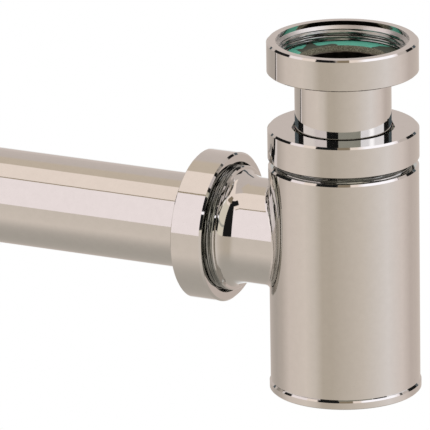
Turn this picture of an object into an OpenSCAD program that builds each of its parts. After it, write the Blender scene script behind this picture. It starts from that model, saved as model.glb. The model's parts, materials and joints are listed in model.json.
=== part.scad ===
// Space-saving bottle trap for a wash basin, in polished nickel-plated brass.
// The origin is on the bottle's axis, on top of the gasket that the basin's waste lands on.
// +Z points up and the outlet runs along -X.

/* [Tubes] */
// Outside diameter of the inlet and outlet tubes
tube_d = 32; // [31:0.5:33]
// Wall of the inlet and outlet tubes
tube_wall = 1; // [0.8:0.1:1.2]
// Clear inlet tube between the bottle's cap and the basin nut
inlet_rise = 19.1; // [18:0.1:60]
// Lower end of the inlet tube above the base, which sets the water seal
dip_h = 20; // [18:0.5:24]
// Clear outlet tube beyond its nut
outlet_len = 163; // [60:1:400]

/* [Bottle] */
// Outside diameter of the bottle
bottle_d = 49.9; // [46:0.1:54]
// Height of the bottle with its base cap
bottle_h = 77.6; // [76:0.1:110]
// Wall of the bottle
bottle_wall = 1.2; // [1:0.1:1.5]
// Share of the room between tube and bottle that lies inside the neck's thread
neck_share = 0.7375; // [0.7:0.0025:0.76]
// Height of the outlet's axis above the base
outlet_h = 50.1; // [48:0.1:51]
// Rim height of the screwed base cap
base_rim_h = 3; // [2.6:0.1:4]

/* [Nuts] */
// Outside diameter of the basin and outlet nuts
nut_d = 50.2; // [46:0.1:54]
// Height of the basin nut
basin_nut_h = 10.6; // [10.2:0.1:14]
// Height of the cap on the bottle
cap_h = 10.6; // [10.4:0.1:12]
// Gap between the bottle and its cap, where the thread shows
cap_gap = 2.2; // [1:0.1:2.4]
// Width of the outlet nut
outlet_nut_h = 11.2; // [11:0.1:13]
// Distance from the bottle's axis to the outlet nut
outlet_nut_x = 40.9; // [40:0.1:60]
// Share of a nut's room round the tube that lies inside its thread
thread_share = 0.55; // [0.5:0.01:0.58]
// Step from the thread of a nut out to its mouth
mouth_step = 1; // [0.8:0.1:1.3]
// Pitch of every thread
thread_pitch = 1.5; // [1:0.1:2]

/* [Seals] */
// Thickness of the basin gasket
gasket_t = 1.95; // [1.5:0.05:2.5]
// Thickness of the slip rings
slip_ring_t = 1.3; // [1:0.1:1.5]

/* [Hidden] */
$fn = 96;

// Clearance of a fit, of loose pieces and of the hole round a tube
fit_c = 0.05;
loose_c = 0.3;
hole_c = 0.85;
// Edge breaks: outer nut edges, small edges and tube ends
edge_c = 0.65;
small_c = 0.35;
burr_c = 0.2;
// Depth of a thread's ridges, and of the relief groove at the bottom of a threaded bore
thread_depth = thread_pitch / 2;
relief_step = 0.4;

// Inlet tube, its flange and the basin nut
tube_r = tube_d / 2;
tube_bore_r = tube_r - tube_wall;
nut_r = nut_d / 2;
thread_r = tube_r + thread_share * (nut_r - tube_r);
mouth_depth = 1.5;
lip_t = 1.2;
flange_t = 0.9;
flange_r = thread_r - thread_depth;
flange_fillet_r = 0.25;
gasket_c = 0.4;
gasket_r = thread_r - gasket_c;
gasket_bore_r = tube_bore_r + loose_c;
nut_floor_h = bottle_h + cap_gap + cap_h + inlet_rise;
flange_h = nut_floor_h + lip_t;
gasket_h = flange_h + flange_t;
seal_plane_h = gasket_h + gasket_t;

// Bottle
bottle_r = bottle_d / 2;
bottle_bore_r = bottle_r - bottle_wall;

// Neck and cap
neck_r = tube_r + neck_share * (bottle_r - tube_r);
cap_overhang = 0.15;
cap_r = bottle_r + cap_overhang;
cap_h0 = bottle_h + cap_gap;
cap_plate_t = 1.8;
cap_plate_h = cap_h0 + cap_h - cap_plate_t;
cap_bore_r = neck_r + fit_c;
cap_mouth_step = 0.8;
ring_h = cap_plate_h - slip_ring_t;
ring_gap = 0.5;
neck_top_h = ring_h - ring_gap;
neck_spigot_h = 6;
neck_spigot_wall = 1.5;
seal_room = 0.9;
neck_bore_r = tube_r + seal_room;

// Conical seats: their depth, and the seals that fill them
seat_depth = 4.4;
seat_mouth = 0.65;
seal_foot = 0.5;
neck_seat_r = tube_r + seat_mouth * (neck_r - tube_r);

// Outlet branch, and the gentle flare and rounder lip that lead to its threaded end
branch_bore_r = tube_r + loose_c;
branch_wall = 1.45;
branch_r = branch_bore_r + branch_wall;
rim_step = 1.25;
flare_rise = thread_r - rim_step - branch_r;
flare_r = 12;
lip_r = 4;
flare_share = 0.44;
flare_turn = acos(1 - flare_share * flare_rise / flare_r);
lip_turn = acos(cos(flare_turn) - (1 - flare_share) * flare_rise / lip_r);
flare_run = flare_r * sin(flare_turn);
lip_run = lip_r * (sin(lip_turn) - sin(flare_turn));
rim_out = 2.9;
collar_x = outlet_nut_x - rim_out;
branch_thread_r = thread_r - fit_c;
outlet_plate_t = 1.8;
outlet_plate_x = outlet_nut_x + outlet_nut_h - outlet_plate_t;
outlet_ring_x = outlet_plate_x - slip_ring_t;
branch_end_x = outlet_ring_x - ring_gap;
branch_seat_r = tube_r + seat_mouth * (thread_r - tube_r);
socket_depth = 18;
branch_stop_x = branch_end_x - socket_depth;
braze_r = 1.8;
braze_stations = 72;
braze_arc_steps = 6;
tube_end_gap = 5.5;
outlet_tube_x = branch_stop_x + tube_end_gap;
outlet_end_x = outlet_nut_x + outlet_nut_h + outlet_len;

// Screwed base cap and the ring that it screws into
base_rim_step = 0.35;
base_cap_r = bottle_r + base_rim_step;
base_ring_wall = 2.15;
base_thread_r = bottle_bore_r - base_ring_wall;
base_spigot_r = base_thread_r - fit_c;
base_spigot_wall = 1.75;
base_floor_t = 2.2;
o_ring_d = 1.5;
o_ring_space = 0.06;
base_ring_h0 = base_rim_h + o_ring_d + o_ring_space;
base_ring_h = 6.4;
base_spigot_h = 7.4;

// Colours
nickel = [0.80, 0.76, 0.73];
black_rubber = [0.10, 0.10, 0.11];
white_nylon = [0.90, 0.90, 0.87];
green_fibre = [0.42, 0.68, 0.60];

function arc(centre, r, from, to, steps) = [
    for (i = [0:steps])
        let (t = from + (to - from) * i / steps)
        [centre[0] + r * cos(t), centre[1] + r * sin(t)]
];

// Heights above the base face, brought into the part's frame
module from_base() {
    translate([0, 0, -seal_plane_h]) children();
}

// Local +Z becomes the outlet's direction, from the bottle's axis outwards
module along_outlet() {
    translate([0, 0, outlet_h - seal_plane_h]) rotate([0, -90, 0]) children();
}

// Turned piece from a half section of [radius, height] points
module turned(points) {
    rotate_extrude() polygon(points);
}

// Round nut: a holed plate at z = 0, a relief groove and a threaded bore that opens through a mouth at z = h
module round_nut(outer_r, h, plate_t, relief_t, hole_r, bore_r, open_step, open_depth, plate_edge, mouth_edge) {
    open_r = bore_r + open_step;
    relief_r = bore_r + relief_step;
    turned([
        [hole_r + burr_c, 0],
        [outer_r - plate_edge, 0],
        [outer_r, plate_edge],
        [outer_r, h - mouth_edge],
        [outer_r - mouth_edge, h],
        [open_r, h],
        [open_r, h - open_depth],
        [bore_r, h - open_depth - open_step],
        [bore_r, plate_t + relief_t],
        [relief_r, plate_t + relief_t],
        [relief_r, plate_t],
        [hole_r, plate_t],
        [hole_r, burr_c]
    ]);
}

// Ring seal with a cone below that fills a conical seat, with its flat face at z = h
module cone_seal(seat_r, h) {
    slope = (seat_r - neck_bore_r) / seat_depth;
    cone_r = seat_r - fit_c * sqrt(1 + slope * slope);
    cone_top = seat_depth - seal_foot;
    turned([
        [tube_r + fit_c, 0],
        [cone_r - slope * cone_top, 0],
        [cone_r, cone_top],
        [cone_r, h],
        [tube_r + fit_c, h]
    ]);
}

// Ring that passes the thread of a bore of this radius
module slip_ring(bore_r) {
    outer_r = bore_r - thread_depth - loose_c;
    turned([
        [tube_r + loose_c, 0],
        [outer_r, 0],
        [outer_r, slip_ring_t],
        [tube_r + loose_c, slip_ring_t]
    ]);
}

module basin_nut() {
    color(nickel) from_base() translate([0, 0, nut_floor_h])
        round_nut(
            nut_r, basin_nut_h, lip_t, flange_t + gasket_t, tube_r + loose_c,
            thread_r, mouth_step, mouth_depth, small_c, edge_c
        );
}

module basin_gasket() {
    color(green_fibre) from_base() translate([0, 0, gasket_h])
        turned([[gasket_bore_r, 0], [gasket_r, 0], [gasket_r, gasket_t], [gasket_bore_r, gasket_t]]);
}

// Tube with a rolled flange at its top, plain at its lower end
module inlet_tube() {
    color(nickel) from_base()
        turned(concat(
            [
                [tube_bore_r, dip_h + burr_c],
                [tube_bore_r + burr_c, dip_h],
                [tube_r - burr_c, dip_h],
                [tube_r, dip_h + burr_c]
            ],
            arc([tube_r + flange_fillet_r, flange_h - flange_fillet_r], flange_fillet_r, 180, 90, 4),
            [
                [flange_r, flange_h],
                [flange_r, flange_h + flange_t],
                [tube_bore_r + flange_fillet_r, flange_h + flange_t],
                [tube_bore_r, flange_h + flange_t - flange_fillet_r]
            ]
        ));
}

module trap_cap() {
    color(nickel) from_base() translate([0, 0, cap_h0 + cap_h]) mirror([0, 0, 1])
        round_nut(
            cap_r, cap_h, cap_plate_t, slip_ring_t, tube_r + hole_c,
            cap_bore_r, cap_mouth_step, small_c, edge_c, small_c
        );
}

module cap_slip_ring() {
    color(white_nylon) from_base() translate([0, 0, ring_h]) slip_ring(cap_bore_r);
}

module cap_cone_seal() {
    seal_h0 = neck_top_h - seat_depth + seal_foot;
    color(black_rubber) from_base() translate([0, 0, seal_h0]) cone_seal(neck_seat_r, ring_h - seal_h0);
}

// Drawn tube, open at both ends, with the hole that the branch is brazed into
module bottle_shell() {
    color(nickel) from_base() difference() {
        turned([
            [bottle_bore_r, base_rim_h],
            [bottle_r - small_c, base_rim_h],
            [bottle_r, base_rim_h + small_c],
            [bottle_r, bottle_h - edge_c],
            [bottle_r - edge_c, bottle_h],
            [bottle_bore_r, bottle_h]
        ]);
        translate([0, 0, outlet_h]) rotate([0, -90, 0]) cylinder(r = branch_r, h = bottle_d);
    }
}

// Turned neck brazed into the bottle's top: thread outside, seal seat inside
module neck_ring() {
    color(nickel) from_base()
        turned([
            [bottle_bore_r, bottle_h - neck_spigot_h],
            [bottle_bore_r, bottle_h],
            [neck_r, bottle_h],
            [neck_r, neck_top_h - small_c],
            [neck_r - small_c, neck_top_h],
            [neck_seat_r, neck_top_h],
            [neck_bore_r, neck_top_h - seat_depth],
            [neck_bore_r, bottle_h],
            [bottle_bore_r - neck_spigot_wall, bottle_h - neck_spigot_h + neck_spigot_wall],
            [bottle_bore_r - neck_spigot_wall, bottle_h - neck_spigot_h]
        ]);
}

// Side tube that flares out to its threaded end, cut to the bottle's bore
module outlet_branch() {
    flare_x0 = collar_x - lip_run - flare_run;
    lip_x0 = collar_x - lip_r * sin(lip_turn);
    lip_centre_r = branch_r + flare_share * flare_rise + lip_r * cos(flare_turn);
    color(nickel) difference() {
        along_outlet() turned(concat(
            [
                [tube_bore_r, bottle_bore_r / 2],
                [branch_r, bottle_bore_r / 2]
            ],
            arc([branch_r + flare_r, flare_x0], flare_r, 180, 180 - flare_turn, 6),
            arc([lip_centre_r, lip_x0], lip_r, 180 - flare_turn, 180 - lip_turn, 6),
            [
                [branch_thread_r - small_c, collar_x + burr_c],
                [branch_thread_r, collar_x + burr_c + small_c],
                [branch_thread_r, branch_end_x - small_c],
                [branch_thread_r - small_c, branch_end_x],
                [branch_seat_r, branch_end_x],
                [neck_bore_r, branch_end_x - seat_depth],
                [branch_bore_r, branch_end_x - seat_depth],
                [branch_bore_r, branch_stop_x],
                [tube_bore_r, branch_stop_x]
            ]
        ));
        from_base() cylinder(r = bottle_bore_r, h = bottle_h);
    }
}

// Bead of braze round the saddle joint: the path of a ball rolled between bottle and branch
module branch_braze_fillet() {
    steps = braze_arc_steps;
    ring = steps + 2;
    points = [
        for (i = [0:braze_stations - 1])
            let (
                t = 360 * i / braze_stations,
                side = [sin(t), cos(t), 0],
                ball_y = (branch_r + braze_r) * cos(t),
                ball_x = sqrt(pow(bottle_r + braze_r, 2) - ball_y * ball_y),
                ball = (branch_r + braze_r) * side + [0, 0, ball_x],
                to_bottle = -[0, ball_y, ball_x] / (bottle_r + braze_r),
                to_branch = -side,
                spread = acos(to_bottle * to_branch),
                corner_y = branch_r * cos(t),
                corner = branch_r * side + [0, 0, sqrt(bottle_r * bottle_r - corner_y * corner_y)]
            )
            for (k = [0:steps + 1])
                k > steps ? corner : ball + braze_r / sin(spread)
                    * (sin(spread * (1 - k / steps)) * to_bottle + sin(spread * k / steps) * to_branch)
    ];
    faces = [
        for (i = [0:braze_stations - 1])
            for (k = [0:ring - 1])
                let (
                    next = (i + 1) % braze_stations,
                    over = (k + 1) % ring,
                    here = i * ring + k,
                    above = i * ring + over,
                    beside = next * ring + k,
                    across = next * ring + over
                )
                for (face = [[here, above, across], [here, across, beside]])
                    face
    ];
    color(nickel) along_outlet() polyhedron(points, faces);
}

module outlet_nut() {
    color(nickel) along_outlet() translate([0, 0, outlet_nut_x + outlet_nut_h]) mirror([0, 0, 1])
        round_nut(
            nut_r, outlet_nut_h, outlet_plate_t, slip_ring_t, tube_r + hole_c,
            thread_r, mouth_step, mouth_depth, small_c, edge_c
        );
}

module outlet_slip_ring() {
    color(white_nylon) along_outlet() translate([0, 0, outlet_ring_x]) slip_ring(thread_r);
}

module outlet_cone_seal() {
    seal_x0 = branch_end_x - seat_depth + seal_foot;
    color(black_rubber) along_outlet() translate([0, 0, seal_x0]) cone_seal(branch_seat_r, outlet_ring_x - seal_x0);
}

module outlet_tube() {
    color(nickel) along_outlet()
        turned([
            [tube_bore_r + burr_c, outlet_tube_x],
            [tube_r - burr_c, outlet_tube_x],
            [tube_r, outlet_tube_x + burr_c],
            [tube_r, outlet_end_x - burr_c],
            [tube_r - burr_c, outlet_end_x],
            [tube_bore_r + burr_c, outlet_end_x],
            [tube_bore_r, outlet_end_x - burr_c],
            [tube_bore_r, outlet_tube_x + burr_c]
        ]);
}

// Internally threaded ring brazed into the bottle's foot
module base_ring() {
    color(nickel) from_base() translate([0, 0, base_ring_h0])
        turned([
            [base_thread_r + small_c, 0],
            [bottle_bore_r, 0],
            [bottle_bore_r, base_ring_h],
            [base_thread_r, base_ring_h],
            [base_thread_r, small_c]
        ]);
}

module base_o_ring() {
    centre_r = bottle_bore_r - o_ring_d / 2 - loose_c;
    color(black_rubber) from_base() translate([0, 0, base_rim_h + (o_ring_d + o_ring_space) / 2])
        rotate_extrude() translate([centre_r, 0]) circle(d = o_ring_d, $fn = 32);
}

// Cup that closes the bottle and is unscrewed for cleaning
module base_cap() {
    spigot_bore_r = base_spigot_r - base_spigot_wall;
    color(nickel) from_base()
        turned([
            [0, 0],
            [base_cap_r - small_c, 0],
            [base_cap_r, small_c],
            [base_cap_r, base_rim_h - edge_c],
            [base_cap_r - edge_c, base_rim_h],
            [base_spigot_r, base_rim_h],
            [base_spigot_r, base_rim_h + base_spigot_h - small_c],
            [base_spigot_r - small_c, base_rim_h + base_spigot_h],
            [spigot_bore_r, base_rim_h + base_spigot_h],
            [spigot_bore_r, base_floor_t],
            [0, base_floor_t]
        ]);
}

basin_nut();
basin_gasket();
inlet_tube();
trap_cap();
cap_slip_ring();
cap_cone_seal();
bottle_shell();
neck_ring();
outlet_branch();
branch_braze_fillet();
outlet_nut();
outlet_slip_ring();
outlet_cone_seal();
outlet_tube();
base_ring();
base_o_ring();
base_cap();
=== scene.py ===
"""Looks of a space-saving bottle trap: nickel plate, screw threads, seals and a plain pale studio."""

import json
import math

import bmesh
import bpy
from mathutils import Matrix, Vector

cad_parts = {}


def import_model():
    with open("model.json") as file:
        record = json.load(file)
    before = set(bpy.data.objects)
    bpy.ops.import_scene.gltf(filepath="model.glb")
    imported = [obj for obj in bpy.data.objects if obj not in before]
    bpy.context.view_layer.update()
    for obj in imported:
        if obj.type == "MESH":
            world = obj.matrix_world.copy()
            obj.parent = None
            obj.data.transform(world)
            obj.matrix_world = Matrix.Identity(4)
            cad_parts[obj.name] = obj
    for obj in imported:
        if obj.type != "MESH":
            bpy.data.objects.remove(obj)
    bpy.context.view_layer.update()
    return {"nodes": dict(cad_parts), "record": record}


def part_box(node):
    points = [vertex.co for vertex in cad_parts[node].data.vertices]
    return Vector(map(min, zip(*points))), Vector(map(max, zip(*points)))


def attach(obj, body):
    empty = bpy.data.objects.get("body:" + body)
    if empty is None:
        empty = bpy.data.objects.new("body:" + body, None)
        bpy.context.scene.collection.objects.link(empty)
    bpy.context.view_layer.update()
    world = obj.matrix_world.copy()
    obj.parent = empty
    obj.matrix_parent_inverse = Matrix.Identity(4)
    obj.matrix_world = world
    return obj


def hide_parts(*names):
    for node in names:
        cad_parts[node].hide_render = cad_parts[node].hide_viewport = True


MM = 0.001

# Camera: the photograph's viewpoint, read from the outlines of the tubes and nuts
CAMERA_AZIMUTH = 26.635
CAMERA_ELEVATION = 17.785
CAMERA_ROLL = -0.872
CAMERA_DISTANCE = 2.3736
CAMERA_LENS = 600.8
CAMERA_SENSOR = 36.0
CAMERA_REACH = 100.0
AIM_HEIGHT = 60 * MM
AIM_RIGHT = -42.69 * MM
AIM_UP = 0.22 * MM

# Threads, in millimetres
PITCH = 1.5
THREAD_DEPTH = 0.7
THREAD_FADE = 0.3 * PITCH
ROWS_PER_TURN = 10
WALL_MATCH = 0.02

# Distances in metres within which mesh points count as one
WELD = 1e-6
CUT_SNAP = 1e-7

# Material slots of a threaded piece, and how far up the faces of a nut's mouth look
PLATED, CUT, TURNED = range(3)
MOUTH_RISE = (0.5, 0.9)

# Nickel: darker and lighter tone, and roughness of its clear and hazy patches
PLATE_TONES = ((0.615, 0.61, 0.59), (0.635, 0.63, 0.61))
PLATE_GLOSS = (0.03, 0.065)
# Cut thread faces: duller nickel, darkened further with painted shade of the thread grooves
SHADED_CUT_TONES = ((0.26, 0.27, 0.26), (0.36, 0.37, 0.35))
CUT_GLOSS = (0.10, 0.22)
TURNED_GLOSS = (0.32, 0.4)
WAVE_SCALE = 140.0
HAZE_SCALE = 420.0
HAZE_TONE_SPAN = (0.35, 0.7)
HAZE_GLOSS_SPAN = (0.3, 0.75)

# Bare bore of the inlet tube, inside this radius in metres, darkened with painted shade
TUBE_BORE = 0.01535
SHADED_BORE_TONES = ((0.05, 0.045, 0.035), (0.11, 0.10, 0.08))
BARE_ROUGHNESS = 0.35

# Gasket: tones of its green face, dark fields and cut edge, and the place, size and share of the fields
GASKET_GREEN = ((0.105, 0.49, 0.37), (0.155, 0.60, 0.47))
GASKET_DARK = ((0.045, 0.06, 0.045), (0.085, 0.105, 0.08))
GASKET_EDGE = ((0.2, 0.2, 0.145), (0.55, 0.55, 0.42))
FIELD_MIRROR = (0.894, 0.448, 0.0)
FIELD_SHIFT = (0.012, 0.004, 0.0)
FIELDS_PER_METRE = 125.0
FIELD_SHARE = 0.36
FIBRE_SCALE = 3000.0

# Nylon and rubber of the hidden rings and seals
NYLON_TONES = ((0.70, 0.70, 0.65), (0.78, 0.78, 0.74))
NYLON_SCALE = 900.0
RUBBER_TONES = ((0.012, 0.012, 0.013), (0.04, 0.04, 0.042))
RUBBER_SCALE = 1500.0

# Depth in metres of every finish's fine relief
RELIEF = 0.0001

# Studio, with lengths in metres
FLOOR_DROP = 2.0
FLOOR_RADIUS = 80.0
FLOOR_SIDES = 96
BACKDROP = (1.0, 1.0, 1.0)


def main():
    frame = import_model()
    nodes = frame["nodes"]
    finishes = {
        "nickel": nickel_finish("polished_nickel", PLATE_TONES, PLATE_GLOSS),
        "gasket_fibre": gasket_finish(),
        "nylon": nylon_finish(),
        "seal_rubber": rubber_finish(),
    }
    slots = {part["node"]: part["material_slot"] for part in frame["record"]["subparts"]}
    for name, node in nodes.items():
        smooth_by_angle(node.data)
        wear(node, finishes[slots[name]])
    wear(nodes["inlet_tube"], tube_finish())
    # Thread faces: duller cut nickel, with painted shade of the grooves in its darker tones
    shaded_cut_nickel = nickel_finish("shaded_cut_nickel", SHADED_CUT_TONES, CUT_GLOSS)
    turned_nickel = nickel_finish("turned_nickel", PLATE_TONES, TURNED_GLOSS)
    add_threads(nodes, [finishes["nickel"], shaded_cut_nickel, turned_nickel])
    make_camera()
    make_studio()
    bpy.context.view_layer.update()


# Meshes
def smooth_by_angle(mesh, degrees=25):
    for face in mesh.polygons:
        face.use_smooth = True
    mesh.set_sharp_from_angle(angle=math.radians(degrees))


def wear(obj, material):
    obj.data.materials.clear()
    obj.data.materials.append(material)


# Threads: the bores and collars of the CAD pieces, cut with one right-hand helix
def thread_depth(along, angle, start, end):
    """Depth of the thread below the smooth surface, in millimetres, faded out at both ends."""
    phase = 2 * math.pi * (along / PITCH - angle / (2 * math.pi))
    wave = 0.5 - 0.5 * math.cos(phase)
    fade = min(1.0, (along - start) / THREAD_FADE, (end - along) / THREAD_FADE)
    return THREAD_DEPTH * wave * max(0.0, fade)


def threaded_copy(node, radius, start, end, centre, axis):
    """A copy of a turned node whose smooth wall of that radius carries the thread between start and end.

    Lengths are in millimetres. Heights along the axis are measured from centre.
    """
    bm = bmesh.new()
    bm.from_mesh(node.data)
    bmesh.ops.remove_doubles(bm, verts=bm.verts, dist=WELD)
    side = axis.orthogonal().normalized()
    other = axis.cross(side)

    def polar(point):
        arm = point / MM - centre
        across, along = arm.dot(side), arm.dot(other)
        return arm.dot(axis), math.hypot(across, along), math.atan2(along, across)

    def on_wall(face):
        spots = [polar(v.co) for v in face.verts]
        close = all(abs(r - radius) < WALL_MATCH for _, r, _ in spots)
        return close and max(h for h, _, _ in spots) > start and min(h for h, _, _ in spots) < end

    wall = [f for f in bm.faces if on_wall(f)]
    bmesh.ops.join_triangles(bm, faces=wall, angle_face_threshold=0.2, angle_shape_threshold=3.2)
    rows = math.ceil((end - start) / PITCH * ROWS_PER_TURN)
    for row in range(rows + 1):
        height = start + (end - start) * row / rows
        wall = [f for f in bm.faces if on_wall(f)]
        edges = {e for f in wall for e in f.edges}
        verts = {v for f in wall for v in f.verts}
        level = (centre + axis * height) * MM
        geometry = [*wall, *edges, *verts]
        bmesh.ops.bisect_plane(bm, geom=geometry, dist=CUT_SNAP, plane_co=level, plane_no=axis)
    thread = [f for f in bm.faces if on_wall(f)]
    cut = {v for f in thread for v in f.verts}
    for face in thread:
        face.material_index = CUT
    for vert in cut:
        height, _, angle = polar(vert.co)
        depth = thread_depth(height, angle, start, end)
        arm = side * math.cos(angle) + other * math.sin(angle)
        vert.co = (centre + axis * height + arm * (radius - depth)) * MM
    mesh = bpy.data.meshes.new(node.name + "_threaded")
    points = [tuple(v.co) for v in bm.verts]
    bm.verts.index_update()
    faces = [[v.index for v in f.verts] for f in bm.faces]
    finishes = [f.material_index for f in bm.faces]
    bm.free()
    mesh.from_pydata(points, [], faces)
    mesh.polygons.foreach_set("material_index", finishes)
    smooth_by_angle(mesh)
    piece = bpy.data.objects.new(mesh.name, mesh)
    bpy.context.scene.collection.objects.link(piece)
    return piece


def mark_mouth(mesh):
    """Gives the turned finish to the faces that slope inwards and upwards, apart from the thread."""
    low, high = MOUTH_RISE
    for face in mesh.polygons:
        inward = face.center.x * face.normal.x + face.center.y * face.normal.y < 0
        if face.material_index == PLATED and inward and low < face.normal.z < high:
            face.material_index = TURNED


def add_threads(nodes, nickels):
    """Puts threaded copies in the place of the nodes, in plated, cut and turned nickel, the cut thread
    darkened with painted shade.
    """
    up = Vector((0, 0, 1))
    out = Vector((-1, 0, 0))
    tube_low, tube_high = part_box("outlet_tube")
    foot = Vector((0, 0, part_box("base_cap")[0].z / MM))
    outlet = Vector((0, 0, (tube_low.z + tube_high.z) / 2 / MM))
    # Node, body, radius of the wall, start and end of the thread, and the centre and axis of these heights
    threads = [
        ("basin_nut", "basin_nut", 21.005, 113.55, 117.6, foot, up),
        ("trap_cap", "cap", 22.65, 80.95, 87.3, foot, up),
        ("neck_ring", "bottle", 22.6, 77.7, 86.45, foot, up),
        ("outlet_branch", "bottle", 20.95, 38.55, 48.65, outlet, out),
        ("outlet_nut", "outlet_nut", 21.0, 43.4, 49.0, outlet, out),
        ("base_ring", "bottle", 21.6, 4.95, 10.9, foot, up),
        ("base_cap", "base_cap", 21.55, 3.1, 10.0, foot, up),
    ]
    for name, body, radius, start, end, centre, axis in threads:
        piece = threaded_copy(nodes[name], radius, start, end, centre, axis)
        if name == "basin_nut":
            mark_mouth(piece.data)
        for material in nickels:
            piece.data.materials.append(material)
        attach(piece, body)
        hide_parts(name)


# Materials
class Nodes:
    """Short calls for building a node tree."""

    def __init__(self, tree):
        self.tree = tree
        tree.nodes.clear()

    def add(self, kind, values=None, **settings):
        node = self.tree.nodes.new(kind)
        for key, value in settings.items():
            setattr(node, key, value)
        for socket, value in (values or {}).items():
            target = node.inputs[socket]
            if isinstance(value, bpy.types.NodeSocket):
                self.tree.links.new(value, target)
            else:
                target.default_value = value
        return node

    def math(self, operation, first, second=0.0):
        return self.add("ShaderNodeMath", {0: first, 1: second}, operation=operation).outputs[0]

    def noise(self, vector, scale, detail=2.0, roughness=0.5):
        values = {"Vector": vector, "Scale": scale, "Detail": detail, "Roughness": roughness}
        return self.add("ShaderNodeTexNoise", values).outputs["Fac"]

    def span(self, value, low, high, to_low=0.0, to_high=1.0, smooth=False):
        kind = "SMOOTHSTEP" if smooth else "LINEAR"
        values = {"Value": value, "From Min": low, "From Max": high, "To Min": to_low, "To Max": to_high}
        return self.add("ShaderNodeMapRange", values, interpolation_type=kind).outputs["Result"]

    def mix(self, factor, first, second):
        node = self.add("ShaderNodeMix", {"Factor": factor}, data_type="RGBA")
        for socket, value in ((node.inputs[6], first), (node.inputs[7], second)):
            if isinstance(value, bpy.types.NodeSocket):
                self.tree.links.new(value, socket)
            else:
                socket.default_value = (*value, 1.0)
        return node.outputs[2]

    def ramp(self, factor, stops):
        node = self.add("ShaderNodeValToRGB", {"Fac": factor})
        elements = node.color_ramp.elements
        while len(elements) < len(stops):
            elements.new(0.5)
        for element, (place, colour) in zip(elements, stops):
            element.position = place
            element.color = (*colour, 1.0)
        return node.outputs["Color"]

    def relief(self, height, strength):
        values = {"Strength": strength, "Distance": RELIEF, "Height": height}
        return self.add("ShaderNodeBump", values).outputs["Normal"]

    def finish(self, values):
        shader = self.add("ShaderNodeBsdfPrincipled", values).outputs["BSDF"]
        self.add("ShaderNodeOutputMaterial", {"Surface": shader})


def new_material(name):
    material = bpy.data.materials.new(name)
    material.use_nodes = True
    return material, Nodes(material.node_tree)


def polish(tree, place):
    """Polishing haze, and the normal of a surface with faint waves."""
    waves = tree.noise(place, WAVE_SCALE, detail=1.0)
    haze = tree.noise(place, HAZE_SCALE, detail=4.0, roughness=0.65)
    return haze, tree.relief(waves, 0.12)


def nickel_finish(name, tones, gloss):
    """Nickel between two tones and two roughnesses, with faint waves and polishing haze."""
    material, tree = new_material(name)
    haze, normal = polish(tree, tree.add("ShaderNodeTexCoord").outputs["Object"])
    tree.finish({
        "Base Color": tree.mix(tree.span(haze, *HAZE_TONE_SPAN), *tones),
        "Metallic": 1.0,
        "Roughness": tree.span(haze, *HAZE_GLOSS_SPAN, *gloss),
        "Normal": normal,
    })
    return material


def tube_finish():
    """Nickel plate outside, and inside the tube's bare dull bore, darkened with painted shade."""
    material, tree = new_material("inlet_tube")
    place = tree.add("ShaderNodeTexCoord").outputs["Object"]
    parts = tree.add("ShaderNodeSeparateXYZ", {"Vector": place}).outputs
    around = tree.add("ShaderNodeCombineXYZ", {"X": parts["X"], "Y": parts["Y"]}).outputs[0]
    radius = tree.add("ShaderNodeVectorMath", {0: around}, operation="LENGTH").outputs["Value"]
    bore = tree.math("LESS_THAN", radius, TUBE_BORE)
    haze, normal = polish(tree, place)
    share = tree.span(haze, *HAZE_TONE_SPAN)
    gloss = tree.span(haze, *HAZE_GLOSS_SPAN, *PLATE_GLOSS)
    # Inside the bore: bare dull metal, with painted shade in its near-black tones
    tree.finish({
        "Base Color": tree.mix(bore, tree.mix(share, *PLATE_TONES), tree.mix(share, *SHADED_BORE_TONES)),
        "Metallic": 1.0,
        "Roughness": tree.math("MAXIMUM", gloss, tree.math("MULTIPLY", bore, BARE_ROUGHNESS)),
        "Normal": normal,
    })
    return material


def gasket_finish():
    """Pressed fibre gasket: green faces with dark fields, and a speckled grey-brown cut edge."""
    material, tree = new_material("gasket_fibre")
    coords = tree.add("ShaderNodeTexCoord")
    place = coords.outputs["Object"]
    mirrored = tree.add("ShaderNodeVectorMath", {0: place, 1: FIELD_MIRROR}, operation="REFLECT").outputs[0]
    shifted = tree.add("ShaderNodeVectorMath", {0: mirrored, 1: FIELD_SHIFT}, operation="ADD").outputs[0]
    values = {"Vector": shifted, "Scale": FIELDS_PER_METRE}
    cells = tree.add("ShaderNodeTexVoronoi", values, distance="CHEBYCHEV")
    field = tree.add("ShaderNodeSeparateColor", {"Color": cells.outputs["Color"]}).outputs[0]
    dark = tree.math("LESS_THAN", field, FIELD_SHARE)
    grain = tree.noise(place, FIBRE_SCALE, detail=3.0)
    face = tree.mix(dark, tree.mix(grain, *GASKET_GREEN), tree.mix(grain, *GASKET_DARK))
    edge = tree.mix(tree.span(grain, 0.4, 0.6), *GASKET_EDGE)
    upright = tree.add("ShaderNodeSeparateXYZ", {"Vector": coords.outputs["Normal"]}).outputs["Z"]
    flat = tree.math("GREATER_THAN", tree.math("ABSOLUTE", upright), 0.5)
    tree.finish({
        "Base Color": tree.mix(flat, edge, face),
        "Roughness": 0.6,
        "Normal": tree.relief(grain, 0.5),
    })
    return material


def nylon_finish():
    """Natural nylon, slightly milky."""
    material, tree = new_material("natural_nylon")
    place = tree.add("ShaderNodeTexCoord").outputs["Object"]
    grain = tree.noise(place, NYLON_SCALE, detail=3.0)
    tree.finish({
        "Base Color": tree.mix(grain, *NYLON_TONES),
        "Roughness": tree.span(grain, 0.3, 0.7, 0.35, 0.5),
        "Subsurface Weight": 0.15,
        "Subsurface Scale": 0.001,
        "Normal": tree.relief(grain, 0.2),
    })
    return material


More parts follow.
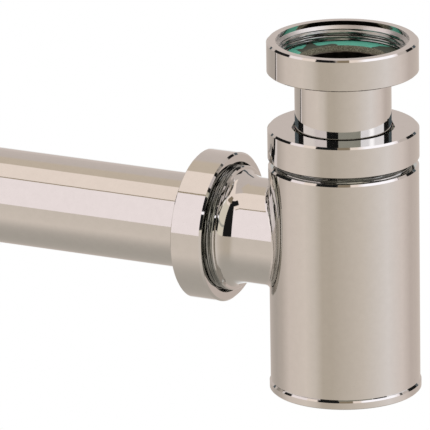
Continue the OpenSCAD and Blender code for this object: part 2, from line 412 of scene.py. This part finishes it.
def rubber_finish():
    """Moulded black rubber, matt with a dusty bloom."""
    material, tree = new_material("moulded_rubber")
    place = tree.add("ShaderNodeTexCoord").outputs["Object"]
    grain = tree.noise(place, RUBBER_SCALE, detail=4.0, roughness=0.6)
    tree.finish({
        "Base Color": tree.mix(tree.span(grain, 0.4, 0.8), *RUBBER_TONES),
        "Roughness": tree.span(grain, 0.3, 0.7, 0.55, 0.75),
        "Normal": tree.relief(grain, 0.35),
    })
    return material


# Camera and studio
def camera_axes():
    azimuth, elevation, roll = (math.radians(v) for v in (CAMERA_AZIMUTH, CAMERA_ELEVATION, CAMERA_ROLL))
    back = Vector((
        math.sin(azimuth) * math.cos(elevation),
        -math.cos(azimuth) * math.cos(elevation),
        math.sin(elevation),
    ))
    level = Vector((math.cos(azimuth), math.sin(azimuth), 0))
    above = back.cross(level)
    right = math.cos(roll) * level + math.sin(roll) * above
    up = -math.sin(roll) * level + math.cos(roll) * above
    return back, level, above, right, up


def make_camera():
    back, level, above, right, up = camera_axes()
    data = bpy.data.cameras.new("camera")
    data.lens = CAMERA_LENS
    data.sensor_width = CAMERA_SENSOR
    data.clip_end = CAMERA_REACH
    camera = bpy.data.objects.new("camera", data)
    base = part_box("base_cap")[0].z
    aim = Vector((0, 0, base + AIM_HEIGHT)) + level * AIM_RIGHT + above * AIM_UP
    place = aim + back * CAMERA_DISTANCE
    turn = Matrix((right, up, back)).transposed()
    camera.matrix_world = Matrix.Translation(place) @ turn.to_4x4()
    bpy.context.scene.collection.objects.link(camera)
    bpy.context.scene.camera = camera


def around_camera(tree, direction):
    """Degrees round the vertical from the camera's side, positive to its right, and degrees of height."""
    turned = tree.add(
        "ShaderNodeVectorRotate",
        {"Vector": direction, "Angle": -math.radians(CAMERA_AZIMUTH)},
        rotation_type="Z_AXIS",
    ).outputs[0]
    parts = tree.add("ShaderNodeSeparateXYZ", {"Vector": turned}).outputs
    azimuth = tree.math("ARCTAN2", parts["X"], tree.math("MULTIPLY", parts["Y"], -1.0))
    height = tree.math("ARCSINE", parts["Z"])
    return [tree.math("MULTIPLY", angle, 180 / math.pi) for angle in (azimuth, height)]


def panel(tree, azimuth, height, sides, soft):
    """A soft-edged rectangle of sky: sides are its left, right, lower and upper edges in degrees."""
    left, right, low, high = sides
    masks = [
        tree.span(azimuth, left - soft, left + soft, smooth=True),
        tree.span(azimuth, right + soft, right - soft, smooth=True),
        tree.span(height, low - soft, low + soft, smooth=True),
        tree.span(height, high + soft, high - soft, smooth=True),
    ]
    mask = masks[0]
    for other in masks[1:]:
        mask = tree.math("MULTIPLY", mask, other)
    return mask


# Tones of the studio's walls, lights and flags
REAR_WALL = (0.755, 0.66, 0.617)
REAR_TOP = (0.777, 0.655, 0.54)
CEILING = (1.192, 1.022, 0.927)
LIGHT = (1.256, 1.121, 1.134)
LIGHT_CORE = (1.46, 1.33, 1.31)
LIGHT_RIGHT = (1.57, 1.52, 1.61)
RIGHT_CORE = (2.2, 2.16, 2.29)
FRONT_WALL = (0.936, 0.853, 0.72)
FRONT_BAND = (0.53, 0.51, 0.45)
FRONT_TOP = (0.34, 0.268, 0.189)
EDGE = (0.426, 0.337, 0.216)
SLATE = (0.10, 0.125, 0.14)
SHADE = (0.12, 0.12, 0.115)
BLACK = (0.015, 0.015, 0.015)

# What stands round the object: left, right, lower and upper edges in degrees, softness and colour
PANELS = [
    ((-180, -136, 46, 70), 4.0, REAR_TOP),
    ((-140, 140, 51, 200), 1.5, CEILING),
    ((-118, -41, -30, 54), 0.6, LIGHT),
    ((-118, -74, 11, 21), 6.0, LIGHT_CORE),
    ((-82, -50, 52.2, 53.8), 0.4, EDGE),
    ((-20, 20, 66, 80), 1.0, FRONT_TOP),
    ((-13, 41, -30, 60), 1.0, FRONT_WALL),
    ((-13, 41, 15.6, 20.2), 0.6, FRONT_BAND),
    ((41, 113, -30, 60), 1.0, LIGHT),
    ((41, 113, 44, 68), 3.0, LIGHT_RIGHT),
    ((41, 113, 11, 21), 1.0, LIGHT_RIGHT),
    ((64, 77, 11, 21), 5.0, RIGHT_CORE),
    ((30, 50, 0.5, 15.9), 0.4, BLACK),
    ((42, 66, 18.5, 38), 0.4, BLACK),
    ((70, 112.5, 31, 41), 0.6, SHADE),
    ((-41, -13, -3, 66), 0.6, BLACK),
    ((-72, -20, 61, 73), 0.7, BLACK),
    ((112, 138, 15, 31), 0.7, BLACK),
    ((138, 174, 15.5, 20.5), 1.0, SLATE),
    ((-176, -129, 16.2, 19.4), 0.6, SLATE),
    ((-136, -111, 15, 43), 0.8, BLACK),
]


def make_world():
    world = bpy.data.worlds.new("studio")
    world.use_nodes = True
    bpy.context.scene.world = world
    tree = Nodes(world.node_tree)
    direction = tree.add("ShaderNodeTexCoord").outputs["Generated"]
    azimuth, height = around_camera(tree, direction)
    colour = REAR_WALL
    for sides, soft, tone in PANELS:
        colour = tree.mix(panel(tree, azimuth, height, sides, soft), colour, tone)
    seen = tree.add("ShaderNodeLightPath").outputs["Is Camera Ray"]
    values = {"Color": tree.mix(seen, colour, BACKDROP), "Strength": 1.0}
    background = tree.add("ShaderNodeBackground", values)
    tree.add("ShaderNodeOutputWorld", {"Surface": background.outputs[0]})


# Floor: share of the full turn, from straight behind the object round by the camera's left, and tone; the
# tones are painted light and painted shadow laid round the floor by direction
FLOOR_LIGHT_AND_SHADE = [
    (0.0, (1.0, 1.0, 1.0)),
    (0.010, (1.0, 1.0, 1.0)),
    (0.016, (0.62, 0.54, 0.49)),
    (0.13, (0.57, 0.5, 0.45)),
    (0.18, (0.66, 0.57, 0.51)),
    (0.23, (0.88, 0.76, 0.69)),
    (0.32, (0.94, 0.82, 0.74)),
    (0.365, (0.84, 0.74, 0.66)),
    (0.4, (0.66, 0.57, 0.48)),
    (0.44, (0.66, 0.57, 0.48)),
    (0.57, (0.83, 0.73, 0.65)),
    (0.69, (1.0, 0.92, 0.89)),
    (0.77, (0.94, 0.82, 0.77)),
    (0.83, (0.73, 0.62, 0.57)),
    (0.93, (0.71, 0.61, 0.55)),
    (0.984, (0.69, 0.6, 0.55)),
    (0.990, (1.0, 1.0, 1.0)),
    (1.0, (1.0, 1.0, 1.0)),
]
# Painted shadow on the floor under the object, and the reach over which it gives way to those tones, in
# metres
PAINTED_FLOOR_SHADOW = (0.55, 0.5, 0.45)
SHADOW_REACH = (0.4 * FLOOR_DROP, 1.8 * FLOOR_DROP)


def floor_finish():
    """Pale floor, seen as the plain backdrop; the metal mirrors its matt tones of painted light and shade,
    with a painted shadow under the object.
    """
    material, tree = new_material("studio_floor")
    place = tree.add("ShaderNodeTexCoord").outputs["Object"]
    azimuth, _ = around_camera(tree, place)
    # Painted light and painted shadow round the floor, by direction
    colour = tree.ramp(tree.span(azimuth, -180.0, 180.0), FLOOR_LIGHT_AND_SHADE)
    reach = tree.add("ShaderNodeVectorMath", {0: place}, operation="LENGTH").outputs["Value"]
    # Painted shadow on the floor under the object
    colour = tree.mix(tree.span(reach, *SHADOW_REACH, smooth=True), PAINTED_FLOOR_SHADOW, colour)
    path = tree.add("ShaderNodeLightPath").outputs
    matt = tree.add("ShaderNodeBsdfDiffuse", {"Color": colour}).outputs[0]
    shown = tree.mix(path["Is Camera Ray"], colour, BACKDROP)
    seen = tree.add("ShaderNodeEmission", {"Color": shown}).outputs[0]
    direct = tree.math("MAXIMUM", path["Is Camera Ray"], path["Is Glossy Ray"])
    direct = tree.math("MAXIMUM", direct, path["Is Transmission Ray"])
    shader = tree.add("ShaderNodeMixShader", {0: direct, 1: matt, 2: seen})
    tree.add("ShaderNodeOutputMaterial", {"Surface": shader.outputs[0]})
    return material


def make_studio():
    make_world()
    mesh = bpy.data.meshes.new("floor")
    bm = bmesh.new()
    bmesh.ops.create_circle(bm, cap_ends=True, segments=FLOOR_SIDES, radius=FLOOR_RADIUS)
    bm.to_mesh(mesh)
    bm.free()
    floor = bpy.data.objects.new("floor", mesh)
    floor.location.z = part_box("base_cap")[0].z - FLOOR_DROP
    bpy.context.scene.collection.objects.link(floor)
    wear(floor, floor_finish())
    bpy.context.scene.view_settings.view_transform = "Standard"


main()
